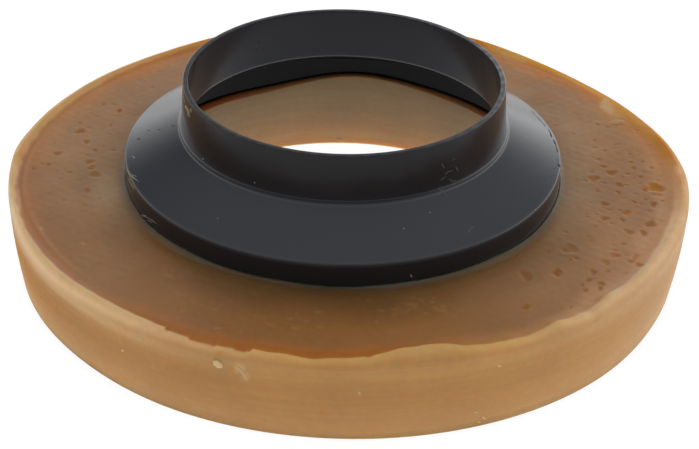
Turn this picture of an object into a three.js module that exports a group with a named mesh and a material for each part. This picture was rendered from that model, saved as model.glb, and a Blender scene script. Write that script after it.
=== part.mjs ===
// Toilet pan seal: a cast wax ring with a moulded plastic horn standing in it.
// The wax is squeezed between the pan and the floor flange, and the horn guides the waste into the drain.
// Millimetres, +Z up. The ring lies on its flat base with the horn up, and the origin is the centre of that base.
import * as THREE from "three";

// Fineness of the round forms
const facetsRound = 96;
const facetsPerFillet = 4;
const facetsUpWall = 4;
const facetsAcrossRim = 4;
const facetsAcrossCrown = 12;
const cornerShare = 0.45; // the most of a side that the curve at one of its corners takes up

// Horn: one moulding, with a collar on a cone on a skirt
const collarRadius = 32.75; // outside, at the tip
const collarHeight = 10.0;
const collarDraft = 3.5; // degrees, wider downwards
const collarWall = 1.1;
const tipEdge = 0.25;
const neckFillet = 1.8; // outside, where the collar meets the cone
const throatRound = 1.4; // inside, where the collar meets the cone
const coneReach = 11.65; // from the foot of the collar out to the cone's edge
const coneSlope = 28.4; // degrees
const coneWall = 1.6;
const coneEdge = 0.6;
const skirtHeight = 9.8; // from the cone's edge down to the skirt's foot
const skirtDraft = 1.5; // degrees, wider downwards
const skirtWall = 1.2;
const skirtEdge = 0.3;

// Wax ring, outer form
const baseRadius = 68.75; // outer wall, at the base
const wallDraft = 6.0; // degrees, wider upwards
const wallBow = 0.3; // how far the outer wall bulges, halfway up
const shoulderHeight = 16.3; // where the outer wall starts to turn over
const ringHeight = 18.35; // mean height of the rim's crest
const crestInset = 1.5; // from the outer wall in to the crest
const rimFullness = 0.85; // 1 is a round rim, less is a flatter bevel up to the crest
const rimSlope = 3.2; // width of the slope from the crest in to the dished top
const baseEdge = 0.2;

// Wax ring, top
const dishDepth = 1.1; // crest down to the dished top
const crownRise = 0.3; // dished top up to the wax round the skirt
const meniscusWidth = 1.6;
const meniscusRise = 0.6; // where the wax climbed the skirt as it set

// Wax ring, seat of the horn
const seatGap = 0.3;
const waxUnderSkirt = 12.6;
const ledgeWidth = 1.0; // wax left between the skirt and the bore
const ledgeDepth = 6.0; // below the hollow under the cone
const ledgeSlope = 0.9; // the ledge rises from the bore to the skirt
const ledgeEdge = 0.4; // where it turns over into the bore
const coreOffset = -1.3; // the horn and the bore stand this far off the middle of the ring, along X

// The wax set unevenly. Each swell is centred at an angle from +X, in degrees, and fades over its half width.
// The crest rises and moves inwards, or sinks where the rise is negative.
const crestSwells = [
  { at: -112, halfWidth: 3, rise: -0.8, inset: 0 },
  { at: -94, halfWidth: 5, rise: -0.4, inset: -0.3 },
  { at: -78, halfWidth: 8, rise: 1.2, inset: 1.6 },
  { at: -61, halfWidth: 4, rise: -0.4, inset: 0 },
  { at: -44, halfWidth: 3.5, rise: 0.8, inset: 0.5 },
  { at: 40, halfWidth: 21, rise: -1.9, inset: 0.2 },
  { at: 132, halfWidth: 18, rise: -1.0, inset: 0 },
  { at: 171, halfWidth: 10, rise: 0.4, inset: 0 },
];
// The shoulder rises and sinks with the widest of them.
const shoulderSwells = [
  { at: 0, halfWidth: 12, rise: 0.6 },
  { at: 40, halfWidth: 21, rise: -1.5 },
  { at: 132, halfWidth: 20, rise: -0.5 },
  { at: 172, halfWidth: 12, rise: 1.0 },
];
const ledgeSwells = [{ at: 82, halfWidth: 26, rise: 3.3 }];

const radians = THREE.MathUtils.degToRad;

// Levels and radii of the horn, from its skirt's foot up
const skirtFootLevel = waxUnderSkirt + seatGap;
const coneEdgeLevel = skirtFootLevel + skirtHeight;
const collarFootRadius = collarRadius + collarHeight * Math.tan(radians(collarDraft));
const coneEdgeRadius = collarFootRadius + coneReach;
const collarFootLevel = coneEdgeLevel + coneReach * Math.tan(radians(coneSlope));
const tipLevel = collarFootLevel + collarHeight;
const skirtRadius = coneEdgeRadius + skirtHeight * Math.tan(radians(skirtDraft));
const skirtBore = skirtRadius - skirtWall;
const coneDepth = coneWall / Math.cos(radians(coneSlope)); // the cone's wall measured upright
const hollowLevel = coneEdgeLevel - coneDepth + (coneEdgeRadius - skirtBore) * Math.tan(radians(coneSlope));

// Radii of the wax, from the skirt that it holds
const grooveOuter = skirtRadius + seatGap;
const grooveInner = skirtBore - seatGap;
const boreRadius = grooveInner - ledgeWidth;

// A section's corners, each with its radius, become a closed outline. A corner's curve leaves both sides at the same
// distance from the corner. With one facet it is a plain edge break.
function roundedOutline(corners) {
  return corners.flatMap(([r, z, radius, facets = 1], i) => {
    const corner = new THREE.Vector2(r, z);
    const before = new THREE.Vector2(...corners.at(i - 1)).sub(corner);
    const after = new THREE.Vector2(...corners[(i + 1) % corners.length]).sub(corner);
    const halfAngle = before.angleTo(after) / 2;
    const longest = Math.min(before.length(), after.length()) * cornerShare;
    const reach = Math.min(radius / Math.tan(halfAngle), longest);
    const start = before.setLength(reach).add(corner);
    const end = after.setLength(reach).add(corner);
    return new THREE.QuadraticBezierCurve(start, corner, end).getPoints(facets);
  });
}

// A lathe whose section may change as it goes round. sectionAt gives the outline at an angle, always with as many
// points, and centreAt gives how far along X each point's circle is centred.
function turnedSolid(sectionAt, centreAt) {
  const first = sectionAt(0);
  const geometry = new THREE.LatheGeometry([...first, first[0]], facetsRound);
  const position = geometry.getAttribute("position");
  const rows = first.length + 1;
  for (let i = 0; i <= facetsRound; i += 1) {
    const angle = (i % facetsRound) / facetsRound * Math.PI * 2;
    const section = sectionAt(angle);
    for (let j = 0; j < rows; j += 1) {
      const point = section[j % section.length];
      const x = centreAt(point.x) + point.x * Math.cos(angle);
      position.setXYZ(i * rows + j, x, point.x * Math.sin(angle), point.y);
    }
  }
  geometry.computeVertexNormals();
  return geometry;
}

// The sum of the swells at an angle, each a smooth bell
function swell(swells, angle, quantity) {
  return swells.reduce((sum, one) => {
    const turn = angle - radians(one.at);
    const apart = Math.atan2(Math.sin(turn), Math.cos(turn));
    return sum + one[quantity] * Math.exp(-((apart / radians(one.halfWidth)) ** 2));
  }, 0);
}

// The horn's section, anticlockwise from the skirt's foot, with the drain's side up
function hornSection() {
  const tipBore = collarRadius - collarWall;
  const throatRadius = collarFootRadius - collarWall;
  const throatLevel = collarFootLevel - coneDepth + collarWall * Math.tan(radians(coneSlope));
  return roundedOutline([
    [skirtBore, skirtFootLevel, skirtEdge],
    [skirtRadius, skirtFootLevel, skirtEdge],
    [coneEdgeRadius, coneEdgeLevel, coneEdge],
    [collarFootRadius, collarFootLevel, neckFillet, facetsPerFillet],
    [collarRadius, tipLevel, tipEdge],
    [tipBore, tipLevel, tipEdge],
    [throatRadius, throatLevel, throatRound, facetsPerFillet],
    [skirtBore, hollowLevel, coneEdge],
  ]);
}

// The ring's section at an angle, anticlockwise from the bore's foot: base, outer wall, rim, dished top, wax climbing
// the skirt, the groove that holds the skirt, and the ledge inside it
function ringSection(angle) {
  const shoulderRadius = baseRadius + shoulderHeight * Math.tan(radians(wallDraft));
  const crestRadius = shoulderRadius - crestInset - swell(crestSwells, angle, "inset");
  const crestLevel = ringHeight + swell(crestSwells, angle, "rise");
  const dishLevel = ringHeight - dishDepth;
  const crownRadius = grooveOuter + meniscusWidth;
  const crownLevel = dishLevel + crownRise;
  const dishOuter = shoulderRadius - crestInset - rimSlope;
  const wallFoot = new THREE.Vector2(baseRadius + baseEdge * Math.tan(radians(wallDraft)), baseEdge);
  const shoulder = new THREE.Vector2(shoulderRadius, shoulderHeight + swell(shoulderSwells, angle, "rise"));
  const crest = new THREE.Vector2(crestRadius, crestLevel);
  const roundCorner = new THREE.Vector2(shoulder.x, crest.y);
  const flatCorner = shoulder.clone().lerp(crest, 0.5);
  const overShoulder = flatCorner.lerp(roundCorner, rimFullness);
  const halfway = wallFoot.clone().lerp(shoulder, 0.5).add(new THREE.Vector2(2 * wallBow, 0));
  const wall = new THREE.QuadraticBezierCurve(wallFoot, halfway, shoulder).getPoints(facetsUpWall);
  const rim = new THREE.QuadraticBezierCurve(shoulder, overShoulder, crest).getPoints(facetsAcrossRim);
  const top = new THREE.SplineCurve([
    crest,
    new THREE.Vector2(dishOuter, dishLevel),
    new THREE.Vector2((dishOuter + crownRadius) / 2, dishLevel),
    new THREE.Vector2(crownRadius, crownLevel),
    new THREE.Vector2(grooveOuter, crownLevel + meniscusRise),
  ]).getPoints(facetsAcrossCrown);
  const ledgeLevel = hollowLevel - ledgeDepth + swell(ledgeSwells, angle, "rise");
  const base = [
    new THREE.Vector2(boreRadius + baseEdge, 0),
    new THREE.Vector2(baseRadius - baseEdge, 0),
  ];
  const seat = [
    new THREE.Vector2(grooveOuter, waxUnderSkirt),
    new THREE.Vector2(grooveInner, waxUnderSkirt),
    new THREE.Vector2(grooveInner, ledgeLevel + ledgeSlope),
    new THREE.Vector2(boreRadius + ledgeEdge, ledgeLevel),
    new THREE.Vector2(boreRadius, ledgeLevel - ledgeEdge),
    new THREE.Vector2(boreRadius, baseEdge),
  ];
  return [...base, ...wall, ...rim.slice(1), ...top.slice(1), ...seat];
}

// From the core's own centre at the groove out to the middle of the ring at its wall
function ringCentre(radius) {
  const outwards = THREE.MathUtils.clamp((radius - grooveOuter) / (baseRadius - grooveOuter), 0, 1);
  return coreOffset * (1 - outwards);
}

const wax = new THREE.MeshStandardMaterial({ color: 0xa9814f, roughness: 0.45, metalness: 0 });
const blackPlastic = new THREE.MeshStandardMaterial({ color: 0x2b2c2f, roughness: 0.4, metalness: 0 });

const waxRing = new THREE.Mesh(turnedSolid(ringSection, ringCentre), wax);
waxRing.name = "wax_ring";

const horn = new THREE.Mesh(turnedSolid(hornSection, () => 0), blackPlastic);
horn.name = "horn";
horn.position.x = coreOffset;

const panSeal = new THREE.Group();
panSeal.add(waxRing, horn);

export default panSeal;
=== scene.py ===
# A toilet pan seal: an amber wax ring, cast round the skirt of a black plastic horn.
# Shapes are worked out in millimetres and degrees about the row frame, and become metres as a mesh is made.
import math

import bpy
import numpy as np
from mathutils import Matrix, Vector
from mathutils.bvhtree import BVHTree


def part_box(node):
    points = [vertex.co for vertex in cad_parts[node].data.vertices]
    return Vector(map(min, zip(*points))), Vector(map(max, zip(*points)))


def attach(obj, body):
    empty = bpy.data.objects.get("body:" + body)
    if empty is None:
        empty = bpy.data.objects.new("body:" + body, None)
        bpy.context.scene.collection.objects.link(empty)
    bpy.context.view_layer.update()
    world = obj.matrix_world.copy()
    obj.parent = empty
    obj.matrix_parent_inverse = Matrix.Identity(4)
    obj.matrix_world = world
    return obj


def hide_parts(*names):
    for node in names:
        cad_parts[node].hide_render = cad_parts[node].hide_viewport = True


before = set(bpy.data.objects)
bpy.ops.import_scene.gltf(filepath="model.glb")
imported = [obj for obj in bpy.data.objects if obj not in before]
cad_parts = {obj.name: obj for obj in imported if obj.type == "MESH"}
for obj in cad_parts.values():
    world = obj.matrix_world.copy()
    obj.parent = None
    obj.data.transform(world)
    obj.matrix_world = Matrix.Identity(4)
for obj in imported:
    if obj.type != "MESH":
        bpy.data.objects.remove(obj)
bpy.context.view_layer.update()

metres = 0.001
full_turn = 2 * math.pi

# Sizes that the frame gives
shoulder_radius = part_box("wax_ring")[1][0] / metres
horn_low, horn_high = (np.array(corner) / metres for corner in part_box("horn"))
core_x = (horn_low[0] + horn_high[0]) / 2
skirt_radius = (horn_high[0] - horn_low[0]) / 2
skirt_foot = horn_low[2]
tip_level = horn_high[2]

# Horn
collar_radius = 32.75
collar_height = 10.0
collar_draft = 3.5
collar_wall = 1.1
tip_edge = 0.25
neck_fillet = 1.1
throat_round = 1.1
cone_slope = 28.4
cone_wall = 1.6
cone_edge = 0.45
skirt_draft = 1.5
skirt_wall = 1.2
skirt_edge = 0.3

# Wax ring
wall_draft = 6.0
shoulder_level = 16.3
base_edge = 0.2
wall_bow = 0.3
ring_level = 18.35
crest_inset = 1.5
rim_fullness = 0.85
rim_slope = 3.6
dish_level = 17.25
crown_rise = 0.3
meniscus_width = 1.5
meniscus_rise = 0.6
ledge_width = 1.0
ledge_level = 14.8
ledge_rise = 0.9  # from the bore to the skirt
ledge_edge = 0.4
seat_gap = 0.3
lip_overlap = 0.2  # of the wax that climbed, over the skirt's face
lip_depth = 0.5  # of the gap behind it, below the top

# How finely the meshes are divided
wax_rounds = 960
horn_rounds = 480
horn_spacing = 0.55  # along the straight stretches of its section
horn_arc_points = 9


def slope_of(degrees):
    """The run for each unit of rise at an angle, or the other way round."""
    return math.tan(math.radians(degrees))


collar_foot_radius = collar_radius + collar_height * slope_of(collar_draft)
collar_foot_level = tip_level - collar_height
# The cone's edge is where its line out from the collar's foot crosses the skirt's line up from the skirt's
# foot.
skirt_height = (
    collar_foot_level - skirt_foot - (skirt_radius - collar_foot_radius) * slope_of(cone_slope)
) / (1 - slope_of(skirt_draft) * slope_of(cone_slope))
cone_edge_level = skirt_foot + skirt_height
cone_edge_radius = skirt_radius - skirt_height * slope_of(skirt_draft)
skirt_bore = skirt_radius - skirt_wall
groove_outer = skirt_radius + seat_gap
groove_inner = skirt_bore - seat_gap
bore_radius = groove_inner - ledge_width
base_radius = shoulder_radius - shoulder_level * slope_of(wall_draft)


# The photograph's camera, and the way from a pixel of it to a place on the object

picture_width = 699
picture_height = 449
sensor_width = 36.0
lens = 96.62
camera_place = np.array([-1.3, -340.6, 211.9])
look_down = 31.401
look_right = 0.275
camera_roll = 1.21
focal_pixels = lens / sensor_width * picture_width

camera_turn = (
    Matrix.Rotation(-math.radians(look_right), 3, "Z")
    @ Matrix.Rotation(math.radians(90 - look_down), 3, "X")
    @ Matrix.Rotation(math.radians(camera_roll), 3, "Z")
)


def rays(pixels):
    """Directions from the camera through pixels of the photograph: each pixel is a point on the sensor,
    turned with the camera. A direction reaches one unit along the camera's axis."""
    pixels = np.asarray(pixels, float)
    across = (pixels[..., 0] + 0.5 - picture_width / 2) / focal_pixels
    down = (pixels[..., 1] + 0.5 - picture_height / 2) / focal_pixels
    return np.stack([across, -down, -np.ones_like(across)], axis=-1) @ np.array(camera_turn).T


def onto_level(pixels, level):
    """Where the rays through pixels meet a level plane."""
    directions = rays(pixels)
    reach = (level - camera_place[2]) / directions[..., 2]
    return camera_place + reach[..., None] * directions


def onto_piece(pixels, tree):
    """Where the rays through pixels first meet a piece, and the way that its surface faces there."""
    origin = Vector(camera_place * metres)
    hits = [tree.ray_cast(origin, Vector(direction)) for direction in rays(pixels)]
    return np.array([hit[0] for hit in hits]) / metres, np.array([hit[1] for hit in hits])


def pixels_at(points):
    """The pixel across and the pixel down at which the camera sees each point: the way back from rays."""
    sight = (points - camera_place) @ np.array(camera_turn)
    across = focal_pixels * sight[..., 0] / -sight[..., 2] + picture_width / 2 - 0.5
    down = focal_pixels * sight[..., 1] / sight[..., 2] + picture_height / 2 - 0.5
    return across, down


# Meshes

def add_object(name, mesh, material):
    """Puts a finished mesh in the scene as a piece of the object, with its place in its mesh."""
    piece = bpy.data.objects.new(name, mesh)
    bpy.context.scene.collection.objects.link(piece)
    mesh.materials.append(material)
    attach(piece, "root")
    return piece


def mesh_of(name, points, quads, triangles=None):
    """A smooth mesh from points in millimetres and the corners of its quads and triangles."""
    triangles = np.zeros((0, 3), int) if triangles is None else triangles
    corners = np.concatenate([quads.ravel(), triangles.ravel()])
    starts = np.concatenate([np.arange(0, quads.size, 4), quads.size + np.arange(0, triangles.size, 3)])
    mesh = bpy.data.meshes.new(name)
    mesh.vertices.add(len(points))
    mesh.vertices.foreach_set("co", (points * metres).astype(np.float32).ravel())
    mesh.loops.add(len(corners))
    mesh.loops.foreach_set("vertex_index", corners.astype(np.int32))
    mesh.polygons.add(len(starts))
    mesh.polygons.foreach_set("loop_start", starts.astype(np.int32))
    mesh.update(calc_edges=True)
    mesh.validate()
    mesh.shade_smooth()
    return mesh


def quads_of(rounds, rows):
    """Corners of the faces of a grid that wraps both ways: each face lies between two neighbouring rounds
    and two neighbouring rows."""
    i, j = np.meshgrid(np.arange(rounds), np.arange(rows), indexing="ij")
    after_i, after_j = (i + 1) % rounds, (j + 1) % rows
    corners = [i * rows + j, after_i * rows + j, after_i * rows + after_j, i * rows + after_j]
    return np.stack(corners, axis=-1).reshape(-1, 4)


def paint(mesh, name, colours):
    """Stores a colour for each point of a mesh, for its material to read."""
    colours = colours.reshape(-1, 3)
    opaque = np.ones((len(colours), 1))
    stored = mesh.color_attributes.new(name, "FLOAT_COLOR", "POINT")
    stored.data.foreach_set("color", np.hstack([colours, opaque]).astype(np.float32).ravel())


def paint_number(mesh, name, numbers):
    """Stores a number for each point of a mesh, as a grey."""
    paint(mesh, name, np.repeat(numbers[..., None], 3, axis=-1))


def linear(red, green, blue):
    """A colour read as 0 to 255 on a screen, as the light that it stands for."""
    channels = np.array([red, green, blue]) / 255
    return np.where(channels <= 0.04045, channels / 12.92, ((channels + 0.055) / 1.055) ** 2.4)


def blend(first, second, share):
    """Colours mixed point by point, from first where share is 0 to second where it is 1."""
    share = np.clip(share, 0, 1)[..., None]
    return first * (1 - share) + second * share


def smooth_step(low, high, value):
    """0 below low, 1 above high, and the smooth cubic between them. It falls where low is above high."""
    share = np.clip((value - low) / (high - low), 0, 1)
    return share * share * (3 - 2 * share)


def unit(vectors):
    """Vectors, each made one long."""
    return vectors / np.linalg.norm(vectors, axis=-1, keepdims=True)


def turn_between(angle, at):
    """The angle from at to angle in degrees, the short way round."""
    return (angle - at + 180) % 360 - 180


def bell(angle, at, half_width):
    """1 at an angle in degrees, fading away smoothly over a half width on either side."""
    return np.exp(-((turn_between(angle, at) / half_width) ** 2))


def swell(swells, angle, column=2):
    """What a list of swells adds up to at an angle. A swell is centred at its first number, fades over its
    second and adds its third, or the number in another column."""
    return sum(one[column] * bell(angle, one[0], one[1]) for one in swells)


def ripple(ripples, angle):
    """Sine waves round the ring, added up: each has a height, a count of waves and a phase."""
    return sum(height * np.sin(np.radians(angle) * count + phase) for height, count, phase in ripples)


def waves(x, y, length, count, seed):
    """A smooth uneven field, mostly from -1 to 1: the sum of sine waves of about one length, each with its
    own heading and phase, over the root of their number."""
    draw = np.random.default_rng(seed)
    headings = draw.uniform(0, full_turn, count)
    phases = draw.uniform(0, full_turn, count)
    numbers = full_turn / (length * draw.uniform(0.7, 1.4, count))
    total = np.zeros(np.broadcast(x, y).shape)
    for heading, phase, number in zip(headings, phases, numbers):
        total += np.sin((x * math.cos(heading) + y * math.sin(heading)) * number + phase)
    return total / math.sqrt(count)


# Wax ring, shape

# The wax set unevenly: angle from +X and half width in degrees, then the crest's rise and its move inwards
crest_swells = [
    (-163, 14, 0.0, -0.5),
    (-142, 11, -0.25, -0.2),
    (-131, 6, 0.15, 0.0),
    (-95, 3.2, -0.4, -0.3),
    (-83, 3.2, 0.55, 0.5),
    (-77, 5.5, 1.1, 1.5),
    (-66.6, 0.7, 0.2, 0.0),
    (-62, 4, -0.4, 0.0),
    (-55.8, 1.9, 0.6, 0.3),
    (-49.3, 1.4, -0.4, 0.0),
    (-43.8, 2.4, 0.9, 0.4),
    (-37, 5, 0.35, 0.2),
    (-20, 9, -0.7, 0.3),
    (-2, 6, 0.45, 0.0),
    (21, 7, -0.45, 0.0),
    (39, 23, -2.15, 0.2),
    (66, 8, 0.35, 0.0),
    (132, 18, -1.0, 0.0),
    (154, 9, -0.4, 0.0),
    (177.5, 6, 0.9, -0.1),
]
crest_inward = 3  # the column of its move inwards
crest_ripples = [(0.05, 61, 0.0), (0.04, 97, 1.3)]
ripples_in_front = (-90, 75)
least_ripple = 0.15

# The shoulder, where the wall turns over, follows the widest of the swells: angle, half width and rise
shoulder_swells = [(-2, 8, 1.2), (39, 23, -1.6), (132, 20, -0.5), (154, 9, 0.2), (177, 9, 1.5)]

# The uneven set of the wall at its top and at its foot: angle, half width and outward move
wall_swells = [(-135, 12, -0.3), (200, 13, -0.3), (-27, 12, -0.55)]
foot_swells = [(-138, 14, -0.35), (-27, 13, -0.35)]

# Stretches of the crest that broke away: where each starts and ends, its depth, and what it adds to how far
# inwards the crest lies
crest_chips = [
    (-118.7, -104.3, 0.55, -0.30),
    (-114.4, -109.9, 0.30, -0.15),
    (-107.0, -105.2, 0.22, -0.10),
    (-87.0, -86.0, 0.25, 0.00),
]
chip_edge = 0.18

# The slope inside the crest is narrow on the left: angle, half width and what is added to its width
slope_swells = [(178, 28, -1.8)]
slope_crowding = 1.4  # how much closer its rows are at the crest
slope_curve = 1.8

# The top, and the wax that climbed the skirt
crown_start = 0.45  # of the way in, where the top starts to rise to the crown
climb_curve = 2.2
climb_ripples = [(0.12, 5, 0.6), (0.08, 13, 0.0)]

# The ledge inside the horn: angle, half width and rise. It is flattest where it is highest.
ledge_top_at = (84, 24)
ledge_swells = [(*ledge_top_at, 2.8), (138, 14, 0.35)]
ledge_flattening = 0.8
ledge_ripples = [(0.15, 9, 0.0)]

# How many more rounds of the mesh there are where the top has most pits: angle, half width and share
finer_swells = [(-8, 38, 1.3), (172, 22, 0.9), (-111, 9, 2.4)]

# How many rows of the mesh each stretch of the section has
wax_rows = {
    "base": 2,
    "base_edge": 2,
    "wall": 10,
    "rim": 9,
    "slope": 10,
    "dish": 52,
    "meniscus": 6,
    "lip": 1,
    "groove": 4,
    "ledge": 4,
    "bore": 4,
}
wax_names = list(wax_rows)


def stretch_rows(first, last=None):
    """The rows of the wax grid that belong to the stretches of the section from first to last."""
    start = sum(wax_rows[name] for name in wax_names[: wax_names.index(first)])
    stop = sum(wax_rows[name] for name in wax_names[: wax_names.index(last or first) + 1])
    return slice(start, stop)


def wax_angles():
    """The angle of each round in degrees. Rounds are closer together where the top has more detail: their
    density is summed round the ring and shared out evenly."""
    fine = np.arange(-180, 180, 0.05)
    count = np.cumsum(1 + swell(finer_swells, fine))
    share_so_far = (count - count[0]) / (count[-1] - count[0])
    return np.interp(np.arange(wax_rounds) / wax_rounds, share_so_far, fine)


def crest_line(angle):
    """Level of the crest and its distance inwards from the wall at an angle in degrees: the swells, less the
    chips, which start and end sharply."""
    rise = swell(crest_swells, angle)
    inset = crest_inset + swell(crest_swells, angle, crest_inward)
    for start, end, depth, back in crest_chips:
        opening = smooth_step(-chip_edge, chip_edge, turn_between(angle, start))
        closing = smooth_step(chip_edge, -chip_edge, turn_between(angle, end))
        rise = rise - depth * opening * closing
        inset = inset + back * opening * closing
    fine = ripple(crest_ripples, angle) * (least_ripple + bell(angle, *ripples_in_front))
    return ring_level + rise + fine, inset


def slope_width(angle):
    """How wide the slope inside the crest is at an angle in degrees."""
    return rim_slope + swell(slope_swells, angle)


def shares(count):
    """Even steps along the rows, from 0 up to but not at 1."""
    return np.arange(count)[None, :] / count


def bezier(start, middle, end, count):
    """Points along a curve that leaves start towards middle and reaches end from it, from start up to but
    not at end."""
    share = shares(count)
    return [
        (1 - share) ** 2 * start[k] + 2 * share * (1 - share) * middle[k] + share**2 * end[k]
        for k in (0, 1)
    ]


def straight(start, end, count):
    """Points evenly spaced from start up to but not at end."""
    return [start[k] + (end[k] - start[k]) * shares(count) for k in (0, 1)]


def wax_section(angle):
    """Radius and level for each angle and row. The section runs anticlockwise from the bore's foot: base,
    wall, rim, the slope inside the rim, the dished top, the wax that climbed the skirt, the groove, the
    ledge and the bore."""
    column = angle[:, None]
    flat = np.zeros_like(column)
    crest_level, inset = crest_line(column)
    outer = shoulder_radius + swell(wall_swells, column)
    turning_level = shoulder_level + swell(shoulder_swells, column)
    crest = (outer - inset, crest_level)
    shoulder = (outer, turning_level)
    over_shoulder = (
        outer - (1 - rim_fullness) / 2 * inset,
        crest_level - (1 - rim_fullness) / 2 * (crest_level - turning_level),
    )
    foot = base_radius + swell(foot_swells, column)
    wall_foot = (foot + base_edge * slope_of(wall_draft), base_edge + flat)
    base_outer = (foot - base_edge, flat)
    base_inner = (bore_radius + base_edge + flat, flat)
    dish_outer = (outer - inset - slope_width(column), dish_level + flat)
    crown = (groove_outer + meniscus_width + flat, dish_level + crown_rise + flat)
    climb = meniscus_rise + ripple(climb_ripples, column)
    lip = (skirt_radius - lip_overlap + flat, crown[1] + climb)
    lip_back = (groove_outer + flat, crown[1] - lip_depth)
    seat_outer = (groove_outer + flat, skirt_foot - seat_gap + flat)
    seat_inner = (groove_inner + flat, skirt_foot - seat_gap + flat)
    ledge_foot = ledge_level + swell(ledge_swells, column) + ripple(ledge_ripples, column)
    ledge_back = ledge_foot + ledge_rise * (1 - ledge_flattening * bell(column, *ledge_top_at))
    ledge_top = (groove_inner + flat, ledge_back)
    ledge_turn = (bore_radius + flat, ledge_foot)
    bore_top = (bore_radius + flat, ledge_foot - ledge_edge)
    bore_foot = (bore_radius + flat, base_edge + flat)

    down_slope = shares(wax_rows["slope"]) ** slope_crowding
    across_dish = shares(wax_rows["dish"])
    up_meniscus = shares(wax_rows["meniscus"])
    groove_corners = (lip_back, seat_outer, seat_inner, ledge_top)
    stretches = {
        "base": straight(base_inner, base_outer, wax_rows["base"]),
        "base_edge": bezier(base_outer, (foot, flat), wall_foot, wax_rows["base_edge"]),
        "wall": straight(wall_foot, shoulder, wax_rows["wall"]),
        "rim": bezier(shoulder, over_shoulder, crest, wax_rows["rim"]),
        "slope": [
            crest[0] + (dish_outer[0] - crest[0]) * down_slope,
            dish_level + (crest[1] - dish_level) * (1 - down_slope) ** slope_curve,
        ],
        "dish": [
            dish_outer[0] + (crown[0] - dish_outer[0]) * across_dish,
            dish_level + crown_rise * smooth_step(crown_start, 1.0, across_dish),
        ],
        "meniscus": [
            crown[0] + (lip[0] - crown[0]) * up_meniscus,
            crown[1] + climb * up_meniscus**climb_curve,
        ],
        "lip": straight(lip, lip_back, wax_rows["lip"]),
        "groove": [np.concatenate([corner[k] for corner in groove_corners], axis=1) for k in (0, 1)],
        "ledge": [part[:, 1:] for part in bezier(ledge_top, ledge_turn, bore_top, wax_rows["ledge"] + 1)],
        "bore": straight(bore_top, bore_foot, wax_rows["bore"]),
    }
    radius = np.concatenate([stretches[name][0] + 0 * column for name in wax_names], axis=1)
    level = np.concatenate([stretches[name][1] + 0 * column for name in wax_names], axis=1)
    return radius, level


# Pits in the top where air escaped as the wax set: pixel across, pixel down and width in pixels of the
# photograph
left_pits = [
    (80, 131, 10), (86, 142, 8), (57, 153, 9), (89, 162, 9), (91, 168, 8), (95, 175, 11), (87, 191, 8),
    (103, 104, 4), (119, 111, 7), (110, 125, 4), (63, 200, 5), (85, 242, 5), (95, 151, 5), (69, 172, 6),
    (48, 164, 6), (79, 122, 4), (99, 199, 4), (84, 205, 3), (104, 211, 3), (33, 168, 5), (54, 142, 3),
]
right_pits = [
    (655, 187, 16), (645, 189, 8), (603, 166, 6), (611, 172, 11), (619, 184, 8), (593, 179, 12),
    (597, 191, 6), (604, 204, 9), (604, 219, 9), (626, 213, 9), (628, 232, 10), (643, 233, 9),
    (650, 224, 12), (653, 204, 9), (593, 272, 9), (588, 280, 7), (601, 283, 8), (605, 262, 10),
    (614, 255, 10), (630, 261, 7), (634, 258, 5), (639, 266, 9), (636, 256, 6), (557, 270, 8),
    (631, 161, 5), (642, 161, 4), (633, 167, 6), (651, 167, 4), (594, 140, 4), (604, 150, 4),
    (581, 128, 3), (597, 124, 5), (573, 134, 4), (615, 144, 4), (555, 126, 4), (567, 154, 3),
    (618, 192, 6), (634, 202, 5), (622, 220, 7), (579, 214, 3), (586, 217, 4), (597, 215, 3),
    (595, 227, 4), (588, 237, 4), (591, 240, 4), (623, 244, 6), (548, 252, 4), (570, 259, 4),
    (582, 285, 5), (607, 271, 6), (525, 307, 9), (571, 307, 4), (561, 308, 3), (600, 288, 7),
    (585, 290, 6), (556, 273, 6), (467, 287, 4), (645, 199, 4), (662, 200, 4), (612, 236, 3),
    (640, 176, 5), (622, 176, 4),
]
long_hollows = [(569, 249, 15), (525, 275, 14), (556, 273, 11)]
# Depths and heights are shares of a pit's width, and distances from its middle are shares of its half width.
pit_depth = 0.1
hollow_depth = 0.08
hollow_share = 0.6  # of a pit's colour
pit_stretch = 1.3  # away from the camera
pit_steepness = 0.8
pit_wander = (0.18, 0.14)  # of its edge, with two and with three waves round it
pit_lip_height = 0.012
pit_lip_at = 1.15
pit_lip_spread = 0.2
pit_shading = 1.3
pit_free_rows = 4  # of the slope, next to the crest

# Tiny dimples, drawn at random
dimple_count = 620
dimple_ring = (49, 66)
dimple_radius = (0.28, 0.7)
dimple_depth = 0.2
dimple_shading = 0.35
# Where they are likely: the middle of each patch along X and Y, its spread along each, and the most
# likelihood there
dimpled_patches = [(57, -14, 12, 26, 1.0), (-58, 10, 12, 24, 0.3)]
least_likely = 0.03


def carve_pits(points, pits, depth):
    """Sinks the top at each pit: a rounded bowl that is steep at its edge, with a low rounded lip round it
    and an edge that wanders a little. Gives how far inside a pit each point is, from 0 to 1."""
    pits = np.array(pits, float)
    places = onto_level(pits[:, :2], dish_level)
    beside = onto_level(pits[:, :2] + np.array([1.0, 0.0]), dish_level)
    widths = pits[:, 2] * np.linalg.norm(beside - places, axis=1)
    inside = np.zeros(points.shape[:2])
    draw = np.random.default_rng(11)
    for place, width in zip(places, widths):
        across = points[..., 0] - place[0]
        along = (points[..., 1] - place[1]) / pit_stretch
        heading = np.arctan2(along, across)
        phases = draw.uniform(0, full_turn, 2)
        wander = sum(pit_wander[k] * np.sin((k + 2) * heading + phases[k]) for k in (0, 1))
        out = np.hypot(across, along) / (width / 2 * (1 + wander))
        bowl = np.clip(1 - out**2, 0, None) ** pit_steepness
        lip = pit_lip_height * np.exp(-(((out - pit_lip_at) / pit_lip_spread) ** 2))
        points[..., 2] += width * (lip - depth * bowl)
        inside = np.maximum(inside, np.clip(bowl * pit_shading, 0, 1))
    return inside


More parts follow.
